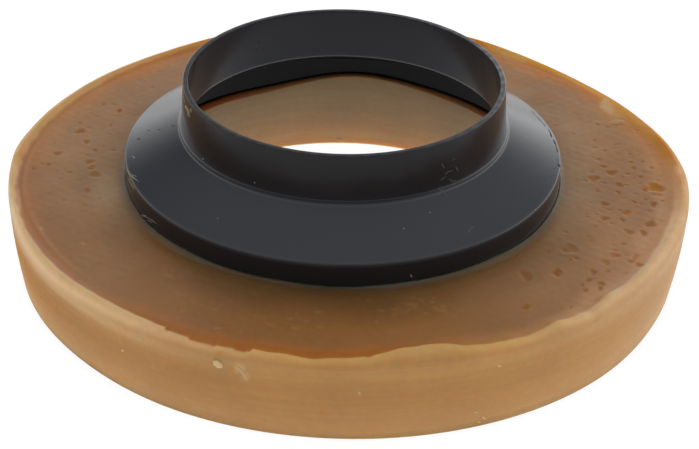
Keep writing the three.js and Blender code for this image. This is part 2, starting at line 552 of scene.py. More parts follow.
def carve_dimples(points):
    """Sinks many tiny bowls, drawn at random and kept where the top is most pitted. Gives how far inside one
    each point is, at most dimple_shading."""
    draw = np.random.default_rng(5)
    inside = np.zeros(points.shape[:2])
    angles = draw.uniform(-math.pi, math.pi, dimple_count)
    radii = draw.uniform(*dimple_ring, dimple_count)
    sizes = draw.uniform(*dimple_radius, dimple_count)
    chances = draw.uniform(0, 1, dimple_count)
    for x, y, size, chance in zip(radii * np.cos(angles), radii * np.sin(angles), sizes, chances):
        if chance > dimple_chance(x, y):
            continue
        out = np.hypot(points[..., 0] - x, points[..., 1] - y) / size
        bowl = np.clip(1 - out**2, 0, None)
        points[..., 2] -= dimple_depth * size * bowl
        inside = np.maximum(inside, dimple_shading * bowl)
    return inside


def dimple_chance(x, y):
    """How likely a dimple is at a place: the most that any of the patches gives it."""
    chances = [
        most * math.exp(-(((x - middle_x) / spread_x) ** 2 + ((y - middle_y) / spread_y) ** 2))
        for middle_x, middle_y, spread_x, spread_y, most in dimpled_patches
    ]
    return max(*chances, least_likely)


# Wax ring, colour

wax_olive = linear(162, 118, 70)
wax_brown = linear(180, 129, 78)
wax_tan = linear(168, 112, 48)
# painted shadow of the horn on the top in front of it
wax_horn_shadow = linear(110, 76, 34)
wax_orange = linear(200, 120, 42)
wax_russet = linear(194, 126, 66)
wax_tawny = linear(204, 142, 82)
wax_pink = linear(216, 160, 112)
wax_amber_gold = linear(208, 130, 46)
wax_gold = linear(204, 138, 26)
wax_straw = linear(220, 181, 114)
wax_cream = linear(234, 201, 154)
wax_wall = linear(183, 137, 84)
wax_wall_dull = linear(168, 108, 44)
# painted light from the floor: the wall and the bore are paler towards their foot
wax_floor_lit = linear(194, 149, 98)
wax_bore = linear(168, 138, 98)
wax_amber = linear(166, 84, 18)
# partly the wax's orange, partly painted shade in the pits' hollows
wax_pit_and_shade = linear(174, 108, 36)
wax_ochre = linear(206, 136, 48)
wax_fringe = linear(98, 84, 66)

# How the slope inside the crest, and the crest, change colour round the ring: angle and colour. Both are
# partly the wax's colour and partly painted glow of light through the thin rim.
slope_colour_and_glow_stops = [
    (-180, wax_russet),
    (-128, wax_russet),
    (-108, wax_orange),
    (-84, wax_orange),
    (-66, wax_tawny),
    (-40, wax_pink),
    (-5, wax_pink),
    (22, wax_amber_gold),
    (60, wax_amber_gold),
    (100, wax_russet),
    (140, wax_amber_gold),
    (165, wax_tawny),
]
# The crest's colours are partly the wax's own and partly painted glow and highlight of the thin rim.
crest_colour_and_glow_stops = [
    (-165, wax_cream),
    (-122, wax_cream),
    (-100, wax_straw),
    (-66, wax_straw),
    (-45, wax_cream),
    (-15, wax_cream),
    (8, wax_gold),
    (60, wax_gold),
    (110, wax_gold),
    (150, wax_straw),
    (180, wax_straw),
]
# How far inside the crest its own colour and painted glow reach: angle and millimetres
crest_reach = [
    (-180, 0.7), (-165, 0.3), (-140, 0.4), (-124, 0.7), (-110, 0.3), (-60, 0.5), (-10, 1.5), (30, 2.3),
    (65, 2.2), (120, 1.2), (150, 1.4),
]

# Stains and worn places, and a few patches of painted sheen where the satin top reflects the bright sides:
# pixel across and down in the photograph, half length and half width in pixels, how far the length is turned
# from level in degrees, colour, and how much of it
stains_and_sheen = [
    (612, 116, 19, 7.0, 27, wax_ochre, 0.5),
    (606.5, 106.5, 8.5, 5.0, 50, wax_cream, 0.5),
    (603, 103, 6.0, 1.4, -62, wax_cream, 0.4),
    (613, 111, 12, 4.5, 30, wax_straw, 0.35),
    (616, 121, 6.5, 1.1, -4, wax_cream, 0.8),
    (616, 124.2, 7.5, 1.5, -4, wax_amber, 0.5),
    (596.5, 121.5, 3.0, 1.1, 5, wax_cream, 0.35),
    (678, 171, 3.5, 6.0, -25, wax_cream, 0.7),
    (684, 188, 3.0, 9.0, -8, wax_cream, 0.6),
    (654, 187, 9.5, 6.8, 10, wax_ochre, 0.9),
    (627, 214, 5.0, 4.0, 0, wax_ochre, 0.5),
    (14.5, 169, 3.4, 7.0, -12, wax_cream, 0.9),
    (18, 200, 2.4, 14.0, -6, wax_cream, 0.45),
    (28, 205, 4.0, 22.0, -4, wax_russet, 0.5),
    (48, 205, 14, 18.0, 0, wax_tan, 0.35),
    # painted sheen on the left of the top
    (105, 195, 16, 22.0, 0, wax_cream, 0.18),
    # painted sheen on the right of the top
    (574, 188, 25, 52.0, 0, wax_cream, 0.12),
    (614, 172, 24, 22.0, 0, wax_tan, 0.25),
    (505, 52, 26, 5.0, 20, wax_straw, 0.6),
    (165, 48, 24, 4.0, -20, wax_straw, 0.5),
    (600, 190, 30, 20.0, 0, wax_olive, 0.15),
    (144, 258, 36, 26.0, 30, wax_tan, 0.35),
    # painted reflection, greyish pink, on the right of the top
    (620, 254, 32, 34.0, 0, wax_pink, 0.34),
    (242, 371.5, 10, 3.6, 52, wax_cream, 0.4),
    (236, 366, 3.4, 2.0, 30, wax_cream, 0.4),
    (219, 353, 4.0, 3.0, 0, wax_gold, 0.3),
    (321, 412, 5.0, 4.0, 0, wax_russet, 0.35),
    # painted sheen over the left of the top
    (80, 168, 46, 60.0, 0, wax_cream, 0.10),
    (215, 308.5, 3.0, 0.8, 0, wax_straw, 0.35),
    (217, 327.7, 4.0, 1.0, 0, wax_straw, 0.4),
    (181, 311, 2.2, 0.9, -20, wax_straw, 0.35),
    (84, 243, 4.0, 1.4, 8, wax_straw, 0.4),
    (40.5, 227.5, 1.6, 1.2, 45, wax_cream, 0.4),
    # painted sheen on the right of the top, behind
    (578, 118, 34, 22.0, 30, wax_cream, 0.08),
]
stain_falloff = 1.7  # more gives a more even middle and a sharper edge
# The wall turns out of the camera's sight between these places along Y, and the stains on it fade out there.
wall_out_of_sight, wall_in_sight = -8, -17

# Faint golden flecks on the top in front of the horn: middle and spread of each patch in pixels, and their
# number
fleck_patches = [(420, 308, 52, 13, 26), (300, 318, 60, 14, 10), (170, 272, 40, 20, 6)]
# The least and the most half length of a fleck in pixels and how much of it, then its half width and tilt
least_fleck, most_fleck = (1.0, 0.06), (5.0, 0.22)
fleck_half_width = (0.7, 1.8)
fleck_tilt = (-35, 35)


def golden_flecks():
    """The flecks as stains, drawn at random about each patch's middle and mostly lying level."""
    draw = np.random.default_rng(31)
    flecks = []
    for x, y, spread_x, spread_y, count in fleck_patches:
        for _ in range(count):
            across, down = np.clip(draw.normal(0, 0.6, 2), -1, 1) * (spread_x, spread_y) + (x, y)
            half_length, share = draw.uniform(least_fleck, most_fleck)
            half_width, tilt = draw.uniform(*fleck_half_width), draw.uniform(*fleck_tilt)
            flecks.append((across, down, half_length, half_width, tilt, wax_straw, share))
    return flecks


def colour_round(stops, angle):
    """The colour or number that a list of angles and values gives at each angle, blended between them."""
    at = [stop[0] for stop in stops]
    values = np.array([stop[1] for stop in stops], float)
    if values.ndim == 1:
        return np.interp(angle, at, values, period=360)
    return np.stack([np.interp(angle, at, values[:, k], period=360) for k in range(3)], axis=-1)


def stained_and_sheened(colours, points):
    """The colours with the stains and the patches of painted sheen on them. Each is an ellipse in the
    photograph, even in the middle and faded at its edge. None of them goes through to the back of the wall."""
    across, down = pixels_at(points)
    on_top = smooth_step(shoulder_level - 1, shoulder_level + 1, points[..., 2])
    seen = np.maximum(on_top, smooth_step(wall_out_of_sight, wall_in_sight, points[..., 1]))
    for x, y, half_length, half_width, tilt, colour, share in stains_and_sheen + golden_flecks():
        turn = math.radians(tilt)
        along = (across - x) * math.cos(turn) + (down - y) * math.sin(turn)
        beside = (down - y) * math.cos(turn) - (across - x) * math.sin(turn)
        out = (along / half_length) ** 2 + (beside / half_width) ** 2
        colours = blend(colours, colour, share * seen * np.exp(-(out**stain_falloff)))
    return colours


# Where the wax's colours lie: angle and half width
front_of_horn = (-92, 50)
dull_wall = (-164, 28)
# where the crest's painted highlight reaches further down the wall
front_left = (-146, 24)
# How far in from the crest the slope's colour and painted glow start to fade, and what is added to that:
# angle, half width and distance
slope_colour_reach = 3.2
slope_colour_swells = [(40, 60, 2.2), (150, 40, 1.4)]
# How much amber the ledge is painted with, as painted glow of light scattered out of the wax in its shade,
# and what is added to it: angle, half width and share
least_ledge_glow = 0.05
ledge_glow_swells = [(136, 28, 0.95), (45, 22, 0.5)]
fringe_share = (0.1, 0.8)  # of the dull fringe, from the top up to the skirt
pit_colour_and_shade_share = 0.75

# The pinkish ridge where the top's skin starts, at the foot of the slope on the left
ridge_inset = 0.1
ridge_width = 0.35
ridge_rise = 0.09
ridge_pink = 0.6


def ridge(angle, from_slope):
    """How much ridge there is, from 0 to 1, at an angle and a distance inwards from the slope's foot."""
    along = smooth_step(160, 185, angle % 360) * smooth_step(228, 205, angle % 360)
    return np.exp(-(((from_slope - ridge_inset) / ridge_width) ** 2)) * along


def top_colours(column, from_skirt, drift, mottle):
    """The dished top is olive by the horn and browner towards the rim. In front of the horn it is tan, with
    a painted shadow of the horn over it that is darker the closer it is to the horn. Each change runs over a
    stretch of millimetres out from the skirt."""
    in_front = bell(column, *front_of_horn)
    colours = blend(wax_olive, wax_brown, smooth_step(3, 14, from_skirt + 2 * drift + 0.8 * mottle))
    colours = blend(colours, wax_tan, 0.8 * in_front * smooth_step(1, 7, from_skirt))
    # painted shadow of the horn: darker towards the skirt in front of it
    return blend(colours, wax_horn_shadow, 0.85 * in_front * smooth_step(14, 2, from_skirt + drift))


def slope_colours(column, colours, crest_colour_and_glow, from_crest, drift, mottle):
    """The slope inside the crest, in its colour and painted glow, with the ridge at its foot and the crest's
    own colour and painted glow at its top. Each change runs over a stretch of millimetres in from the crest."""
    reach = colour_round(crest_reach, column)
    slope_end = slope_colour_reach + swell(slope_colour_swells, column) + 0.8 * drift
    on_slope = smooth_step(slope_end + 3.0, slope_end - 1.5, from_crest + 0.3 * mottle)
    on_ridge = ridge(column, from_crest - slope_width(column))
    on_crest = smooth_step(reach + 0.5, reach - 0.4, from_crest + 0.12 * mottle)
    # slope colour: partly the wax's own, partly painted glow of light through the thin rim
    colours = blend(colours, colour_round(slope_colour_and_glow_stops, column), 0.9 * on_slope)
    colours = blend(colours, wax_pink, ridge_pink * on_ridge)
    return blend(colours, crest_colour_and_glow, on_crest)


def wax_colours(angle, points, inside):
    """The wax's colour at each point. The rim is cream in front and gold behind, with an orange slope inside
    it. Both are partly the wax's colour and partly painted glow of light through the thin rim. The wall is
    painted paler towards its foot, as painted light from the floor, and towards its rim, as a painted
    highlight on the shoulder. The bore is painted paler towards its foot by the same painted floor light,
    and so is duller towards the ledge."""
    column = angle[:, None]
    x, y, level = np.moveaxis(points, -1, 0)
    drift = waves(x, y, length=24, count=8, seed=21)
    mottle = waves(x, y, length=5, count=10, seed=22)
    crest_radius = shoulder_radius + swell(wall_swells, column) - crest_line(column)[1]
    from_crest = crest_radius - np.hypot(x, y)
    crest_colour_and_glow = colour_round(crest_colour_and_glow_stops, column) + 0 * points
    wall_colour = blend(wax_wall + 0 * points, wax_wall_dull, 0.85 * bell(column, *dull_wall))
    on_left = bell(column, *front_left)

    colours = top_colours(column, np.hypot(x - core_x, y) - skirt_radius, drift, mottle)
    top = stretch_rows("slope", "dish")
    colours[:, top] = slope_colours(
        column, colours[:, top], crest_colour_and_glow[:, top], from_crest[:, top], drift[:, top], mottle[:, top]
    )
    rim = stretch_rows("rim")
    # the rim is painted with the crest's colour and painted glow, more on the left
    rim_share = 0.2 + 0.8 * smooth_step(0.1, 0.8, shares(wax_rows["rim"]) + 0.5 * on_left)
    colours[:, rim] = blend(wall_colour[:, rim], crest_colour_and_glow[:, rim], rim_share)

    wall = stretch_rows("base", "wall")
    # painted highlight on the shoulder: the crest's pale colour reaches down the top of the wall, more on
    # the left
    shoulder_highlight = (0.25 + 0.45 * on_left) * smooth_step(12, shoulder_level, level[:, wall])
    # painted light from the floor: the wall is paler towards its foot
    colours[:, wall] = blend(wax_floor_lit, wall_colour[:, wall], smooth_step(0, 9, level[:, wall]))
    colours[:, wall] = blend(colours[:, wall], crest_colour_and_glow[:, wall], shoulder_highlight)

    bore = stretch_rows("groove", "bore")
    ledge = stretch_rows("groove", "ledge")
    fringe = stretch_rows("meniscus", "lip")
    # painted light from the floor: the bore is paler towards its foot and duller up towards the ledge
    colours[:, bore] = blend(wax_floor_lit, wax_bore, smooth_step(1, 11, level[:, bore]))
    # painted glow: amber light scattered out of the shaded wax of the ledge
    colours[:, ledge] = blend(colours[:, ledge], wax_amber, least_ledge_glow + swell(ledge_glow_swells, column))
    up_fringe = np.linspace(*fringe_share, fringe.stop - fringe.start)[None, :]
    colours[:, fringe] = blend(colours[:, fringe], wax_fringe, up_fringe + 0 * column)
    # the pits and dimples: partly the wax's orange, partly painted shade in their hollows
    colours = blend(colours, wax_pit_and_shade, pit_colour_and_shade_share * inside)
    skin = stretch_rows("wall", "meniscus")
    colours[:, skin] = stained_and_sheened(colours[:, skin], points[:, skin])
    return colours


# How much the wax mirrors, and what is added to it: angle, half width and more
top_gloss = 0.5
wall_gloss = 0.2
wall_gloss_swells = [(-168, 30, -0.15)]
rim_gloss = 0.35
rim_gloss_swells = [(62, 48, -0.3)]
gloss_lost_in_pits = 0.6


def wax_gloss(angle, points, inside):
    """How much the skin mirrors at each point. The top mirrors most, and the wall on the left, the rim
    behind and the pits mirror least."""
    column = angle[:, None]
    gloss = np.full(points.shape[:2], top_gloss)
    gloss[:, stretch_rows("base", "wall")] = wall_gloss + swell(wall_gloss_swells, column)
    gloss[:, stretch_rows("rim", "slope")] = rim_gloss + swell(rim_gloss_swells, column)
    return gloss * (1 - gloss_lost_in_pits * inside)


def set_unevenly(angle, points):
    """Raises and lowers the top in soft waves that fade out towards the rim, and adds the ridge at the foot
    of the slope. The wall bulges halfway up, more in some places than in others."""
    column = angle[:, None]
    turn = np.radians(column)
    top = stretch_rows("slope", "meniscus")
    x, y = points[:, top, 0], points[:, top, 1]
    from_middle = np.hypot(x, y)
    fade = smooth_step(shoulder_radius - 1.5, shoulder_radius - 5.0, from_middle)
    uneven = 0.1 * waves(x, y, length=30, count=7, seed=3)
    uneven += 0.035 * waves(x, y, length=9, count=9, seed=4)
    uneven += 0.012 * waves(x, y, length=2.2, count=12, seed=6)
    slope_foot = shoulder_radius - crest_inset - slope_width(column)
    points[:, top, 2] += fade * uneven + ridge_rise * ridge(column, slope_foot - from_middle)

    wall = stretch_rows("wall")
    bow = np.sin(math.pi * shares(wax_rows["wall"]))
    more_bow = 0.08 * waves(np.cos(turn) * 40, np.sin(turn) * 40, length=16, count=6, seed=8)
    bulge = (wall_bow + more_bow) * bow
    points[:, wall, 0] += bulge * np.cos(turn)
    points[:, wall, 1] += bulge * np.sin(turn)


def make_wax(material):
    """The ring as one grid that wraps round the ring and round its section. The inner stretches are centred
    on the horn and the outer ones on the ring."""
    angle = wax_angles()
    radius, level = wax_section(angle)
    turn = np.radians(angle)[:, None]
    outwards = np.clip((radius - groove_outer) / (base_radius - groove_outer), 0, 1)
    centre = core_x * (1 - outwards)
    points = np.stack([centre + radius * np.cos(turn), radius * np.sin(turn), level], axis=-1)
    set_unevenly(angle, points)

    pitted_rows = slice(stretch_rows("slope").start + pit_free_rows, stretch_rows("meniscus").start)
    pitted_points = points[:, pitted_rows]
    inside = np.zeros(points.shape[:2])
    inside[:, pitted_rows] = np.maximum.reduce([
        carve_pits(pitted_points, left_pits + right_pits, pit_depth),
        hollow_share * carve_pits(pitted_points, long_hollows, hollow_depth),
        carve_dimples(pitted_points),
    ])

    mesh = mesh_of("wax_ring_cast", points.reshape(-1, 3), quads_of(*points.shape[:2]))
    paint(mesh, "wax_colour", wax_colours(angle, points, inside))
    paint_number(mesh, "wax_gloss", wax_gloss(angle, points, inside))
    piece = add_object("wax_ring_cast", mesh, material)
    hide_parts("wax_ring")
    return piece


# Horn

def arc_at(before, corner, after, radius, count):
    """Points of the arc of a radius that touches both sides of a corner. Its centre lies on the line that
    halves the corner."""
    towards_before = unit(before - corner)
    towards_after = unit(after - corner)
    half = math.acos(np.clip(towards_before @ towards_after, -1, 1)) / 2
    centre = corner + unit(towards_before + towards_after) * radius / math.sin(half)
    start = corner + towards_before * radius / math.tan(half) - centre
    end = corner + towards_after * radius / math.tan(half) - centre
    sweep = math.pi - 2 * half
    share = np.linspace(0, 1, count)[:, None]
    return centre + (np.sin((1 - share) * sweep) * start + np.sin(share * sweep) * end) / math.sin(sweep)


def outline(corners, spacing, arc_points):
    """A closed section through rounded corners, with points along its straight stretches that are spacing
    apart on average and closer together towards the corners."""
    places = [np.array(corner[:2]) for corner in corners]
    radii = [corner[2] for corner in corners]
    arcs = [
        arc_at(places[k - 1], places[k], places[(k + 1) % len(places)], radii[k], arc_points)
        for k in range(len(corners))
    ]
    section = []
    for k, arc in enumerate(arcs):
        start, end = arc[-1], arcs[(k + 1) % len(arcs)][0]
        steps = max(1, math.ceil(np.linalg.norm(end - start) / spacing))
        share = (0.5 - 0.5 * np.cos(math.pi * np.arange(1, steps) / steps))[:, None]
        section += [arc, start + (end - start) * share]
    return np.concatenate(section)


def horn_outline():
    """The horn's section, anticlockwise from the skirt's foot: skirt, cone, collar, tip and back inside."""
    cone_depth = cone_wall / math.cos(math.radians(cone_slope))
    hollow_level = cone_edge_level - cone_depth + (cone_edge_radius - skirt_bore) * slope_of(cone_slope)
    throat_radius = collar_foot_radius - collar_wall
    throat_level = collar_foot_level - cone_depth + collar_wall * slope_of(cone_slope)
    corners = [
        (skirt_bore, skirt_foot, skirt_edge),
        (skirt_radius, skirt_foot, skirt_edge),
        (cone_edge_radius, cone_edge_level, cone_edge),
        (collar_foot_radius, collar_foot_level, neck_fillet),
        (collar_radius, tip_level, tip_edge),
        (collar_radius - collar_wall, tip_level, tip_edge),
        (throat_radius, throat_level, throat_round),
        (skirt_bore, hollow_level, cone_edge),
    ]
    return outline(corners, horn_spacing, horn_arc_points)


plastic_black = linear(24, 24, 26)
# a lighter grey: partly dust, partly painted sheen of reflected light
plastic_dust_and_sheen = linear(55, 58, 66)
plastic_grey = linear(150, 152, 156)

# The fine raised line round the neck
neck_line_width = 0.13
neck_line_rise = 0.02

# How much dust and painted sheen each part of the horn has: a lighter grey that is partly dust and partly
# painted reflected light
horn_dust_and_sheen = {"cone": 1.0, "inside": 0.6, "skirt": 0.3, "collar": 0.2}

# How much the horn mirrors, and how much less some of its parts do
horn_gloss = 0.5
gloss_lost = {"collar": 0.2, "inside": 0.24, "hollow": 0.14}

# How much more grey there is round the horn: angle, half width and share. Along the neck it is a painted
# highlight, at the cone's edge it is scuffs, and on the tip it is scuffs and painted sheen.
neck_highlights = [(192, 34, 0.75), (-16, 32, 0.75), (90, 60, 0.3)]
edge_scuffs = [(190, 30, 0.25), (5, 30, 0.35)]
tip_scuffs_and_sheen = [(15, 45, 0.75)]


def neck_line(section):
    """How much of the raised line each point of the section has. It runs where the fillet meets the cone."""
    foot = neck_fillet * math.tan(math.radians(90 - cone_slope - collar_draft) / 2)
    line_radius = collar_foot_radius + foot * math.cos(math.radians(cone_slope))
    line_level = collar_foot_level - foot * math.sin(math.radians(cone_slope))
    apart = np.hypot(section[:, 0] - line_radius, section[:, 1] - line_level)
    return np.exp(-((apart / neck_line_width) ** 2))


def dust_sheen_and_gloss(section):
    """How much dust and painted sheen each point of the section has, and how much it mirrors. Most of the
    lighter grey, partly dust and partly painted sheen, lies on the cone's upper face, and none is in the
    hollow under the cone, which stays plain black and mirrors least."""
    radius, level = section[:, 0], section[:, 1]
    above_cone = level - cone_edge_level - (cone_edge_radius - radius) * slope_of(cone_slope)
    on_cone = smooth_step(-0.9, -0.3, above_cone)
    on_cone = on_cone * smooth_step(collar_foot_radius - 0.2, collar_foot_radius + 0.4, radius)
    inner = (np.arange(len(section)) > np.argmax(level)).astype(float)
    in_hollow = inner * smooth_step(collar_foot_level - 1.4, collar_foot_level - 2.2, level)
    on_skirt = (1 - inner) * smooth_step(cone_edge_level + 0.1, cone_edge_level - 0.3, level)
    on_collar = (1 - inner) * smooth_step(collar_foot_level, collar_foot_level + 0.6, level)
    dust_and_sheen = horn_dust_and_sheen["cone"] * on_cone + horn_dust_and_sheen["inside"] * (inner - in_hollow)
    dust_and_sheen += horn_dust_and_sheen["skirt"] * on_skirt + horn_dust_and_sheen["collar"] * on_collar
    gloss = horn_gloss - gloss_lost["collar"] * on_collar
    gloss -= gloss_lost["inside"] * inner + gloss_lost["hollow"] * in_hollow
    return dust_and_sheen, gloss


def scuffed_and_highlit(colours, degrees, section, line):
    """The colours with grey: a painted highlight along the neck's line, scuffs along the cone's edge, and
    scuffs with painted sheen on the tip.
    """
    radius, level = section[None, :, 0], section[None, :, 1]
    turn = np.radians(degrees)
    at_edge = np.exp(-((np.hypot(radius - cone_edge_radius, level - cone_edge_level) / 0.3) ** 2))
    at_tip = smooth_step(tip_level - 0.25, tip_level - 0.05, level)
    rough = 0.5 + 0.5 * waves(radius * np.cos(turn), radius * np.sin(turn), length=2.5, count=8, seed=14)
    tip_share = (0.15 + swell(tip_scuffs_and_sheen, degrees)) * np.clip(rough, 0.5, 0.9)
    # painted highlight along the neck's raised line, strongest on the left and right
    colours = blend(colours, plastic_grey, (0.05 + swell(neck_highlights, degrees)) * line[None, :])
    # scuffs and painted sheen on the tip's face
    colours = blend(colours, plastic_grey, tip_share * at_tip)
    return blend(colours, plastic_grey, (0.1 + swell(edge_scuffs, degrees)) * at_edge)


def make_horn(material):
    """The horn as its section carried round its axis, with a fine raised line round the neck."""
    plain_section = horn_outline()
    line = neck_line(plain_section)
    section = plain_section + neck_line_rise * line[:, None]
    degrees = np.arange(horn_rounds)[:, None] / horn_rounds * 360
    turn = np.radians(degrees)
    radius, level = section[None, :, 0], section[None, :, 1]
    points = np.stack([core_x + radius * np.cos(turn), radius * np.sin(turn), level + 0 * turn], axis=-1)
    mesh = mesh_of("horn_moulded", points.reshape(-1, 3), quads_of(*points.shape[:2]))
    dust_and_sheen, gloss = dust_sheen_and_gloss(section)
    # lighter grey that is partly dust and partly painted sheen
    colours = blend(plastic_black, plastic_dust_and_sheen, dust_and_sheen[None, :] + 0 * turn)
    paint(mesh, "plastic_colour", scuffed_and_highlit(colours, degrees, section, line))
    paint_number(mesh, "plastic_gloss", gloss[None, :] + 0 * turn)
    piece = add_object("horn_moulded", mesh, material)
    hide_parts("horn")
    return piece


# Marks of wear: each is a width in pixels, a height in millimetres and a line of pixels of the photograph

crumbs_on_wax = [
    (7.0, 0.22, [(212.5, 360), (222, 367)]),
    (1.5, 0.08, [(233.5, 365), (238, 367.5), (243, 373), (247, 380.5)]),
    (2.6, 0.08, [(121, 349), (123, 351)]),
    (1.8, 0.08, [(120, 368), (122, 369)]),
    (2.0, 0.08, [(358, 391), (360, 394)]),
    (2.4, 0.10, [(474, 411), (477, 412)]),
    (2.4, 0.10, [(482, 416), (485, 419)]),
    (1.8, 0.08, [(477, 421), (480, 422)]),
    (2.2, 0.08, [(497, 365), (501, 366)]),
    (1.8, 0.10, [(336, 138), (341, 140)]),
    (1.8, 0.12, [(609.5, 122.5), (614, 120.5), (618, 120), (622, 121.5)]),
    (1.4, 0.08, [(599, 108), (601, 104), (606, 100)]),
    (1.2, 0.10, [(594, 120.5), (598, 121.5)]),
    (1.4, 0.10, [(566.5, 112), (569, 112.5)]),
]
smears_on_horn = [
    (1.3, 0.08, [(125.5, 165), (127, 170), (130, 174.5), (133, 177.5), (137, 180), (138.5, 182)]),
    (0.8, 0.06, [(131, 173.5), (133, 175), (136, 176)]),
    (1.3, 0.08, [(131, 155.5), (133, 156.5), (134.5, 158)]),
    (0.9, 0.06, [(139, 213.5), (143, 216), (147, 217), (152, 220), (157, 224)]),
    (1.2, 0.08, [(141, 214.5), (146, 215.5)]),
    (0.8, 0.06, [(146, 219), (152, 222)]),
    (1.2, 0.08, [(253.5, 182), (255, 182.5)]),
    (1.1, 0.08, [(216.5, 218), (218, 218)]),
    (1.2, 0.08, [(402.5, 228), (404, 228)]),
    (1.0, 0.08, [(429, 212), (430, 212)]),
    (1.0, 0.08, [(534, 209), (535, 209.5)]),
    (1.6, 0.10, [(410, 274), (411.5, 277)]),
    (1.2, 0.08, [(201.5, 158), (203, 158.5)]),
    (1.0, 0.06, [(182.5, 90), (183.5, 98), (184.5, 103)]),
]
lumps_on_horn = [
    (5.0, 0.22, [(184.5, 105), (187.5, 110), (189.5, 117)]),
    (2.8, 0.14, [(190, 108), (191, 112)]),
    (3.4, 0.12, [(127.5, 177), (130, 183), (134, 190)]),
    (1.8, 0.10, [(132, 184), (135, 189)]),
]
scratches_on_horn = [
    (1.2, 0.05, [(437, 187), (442, 191), (447, 196)]),
    (0.8, 0.04, [(440, 186), (444, 188)]),
    (1.2, 0.05, [(467, 231.5), (470, 228), (474, 225)]),
    (0.8, 0.04, [(465, 233), (470, 229.5)]),
    (0.9, 0.04, [(455, 166), (458, 171)]),
    (0.9, 0.04, [(441, 163), (444, 168)]),
    (0.9, 0.04, [(444, 174), (448, 171), (453, 170)]),
    (0.7, 0.04, [(448, 178), (452, 181), (456, 180)]),
    (0.7, 0.04, [(440, 180), (445, 176)]),
    (0.7, 0.04, [(451, 160), (455, 158)]),
    (0.9, 0.05, [(549, 171), (552, 168), (557, 167)]),
    (0.8, 0.05, [(550, 176), (554, 173)]),
    (0.8, 0.05, [(547, 184), (550, 181)]),
    (1.0, 0.05, [(533, 112.5), (538, 118), (543.5, 124)]),
    (1.1, 0.05, [(547, 127), (550, 132), (552, 137)]),
    (1.1, 0.05, [(554, 140), (556, 146), (557, 151)]),
    (0.9, 0.05, [(557, 158), (558, 163), (559, 167)]),
]
nicks_on_horn = [
    (1.6, 0.06, [(531, 110), (534, 113)]),
    (1.4, 0.06, [(543, 123), (545, 126)]),
    (1.4, 0.06, [(549.5, 133), (551, 137)]),
    (1.8, 0.08, [(553, 139), (555, 144)]),
    (1.6, 0.08, [(556, 148), (557.5, 152)]),
    (1.8, 0.08, [(557, 164), (560, 166)]),
    (1.4, 0.05, [(171, 125), (174, 125.5)]),
    (1.2, 0.05, [(158, 129), (160, 129)]),
    (1.3, 0.05, [(137, 138), (140, 139)]),
    (1.0, 0.05, [(147, 130), (149, 130)]),
    (1.8, 0.05, [(257, 41.5), (259, 43)]),
    (1.5, 0.05, [(256, 49), (258, 50)]),
    (1.5, 0.05, [(261.5, 48.5), (263, 49.5)]),
    (1.5, 0.05, [(264, 66), (266, 67)]),
]

# Each stroke's mesh: how many rings of points, how many points in each, and how uneven it is
stroke_rings = 16
stroke_sides = 8
stroke_unevenness = 0.28
stroke_point = 0.1  # how far each end tapers out past the last ring
flattest_view = 0.35  # a stroke seen more edge on than this isn't widened any further


def stroke_faces(count):
    """Faces of so many closed strokes. Each has rings of points and then a point for each end."""
    ring, side = np.meshgrid(np.arange(stroke_rings - 1), np.arange(stroke_sides), indexing="ij")
    after = (side + 1) % stroke_sides
    base = ring * stroke_sides
    near_row, far_row = base, base + stroke_sides
    quads = np.stack([near_row + side, near_row + after, far_row + after, far_row + side], axis=-1)
    side = np.arange(stroke_sides)
    after = (side + 1) % stroke_sides
    first_end = stroke_rings * stroke_sides
    last_ring = first_end - stroke_sides
    near = np.stack([np.full_like(side, first_end), after, side], axis=-1)
    far = np.stack([np.full_like(side, first_end + 1), last_ring + side, last_ring + after], axis=-1)
    start = (np.arange(count) * (first_end + 2))[:, None, None]
    quads = (quads.reshape(1, -1, 4) + start).reshape(-1, 4)
    return quads, (np.concatenate([near, far])[None] + start).reshape(-1, 3)


def points_along(line, share):
    """The points at shares of the length of a line of pixels."""
    line = np.array(line, float)
    length = np.concatenate([[0], np.cumsum(np.linalg.norm(np.diff(line, axis=0), axis=1))])
    return np.stack([np.interp(share * length[-1], length, line[:, k]) for k in (0, 1)], axis=-1)


def seen_half_width(pixels, places, sideways, width):
    """Half of a width in millimetres that the camera sees as so many pixels, at places on a surface and
    along the way that lies sideways there. It is more where that way is seen edge on."""
    sight = places - camera_place
    depth = np.linalg.norm(sight, axis=1) / np.linalg.norm(rays(pixels), axis=1)
    sight = unit(sight)
    seen = np.linalg.norm(sideways - np.sum(sideways * sight, axis=1)[:, None] * sight, axis=1)
    return width / 2 * depth / focal_pixels / np.clip(seen, flattest_view, None)


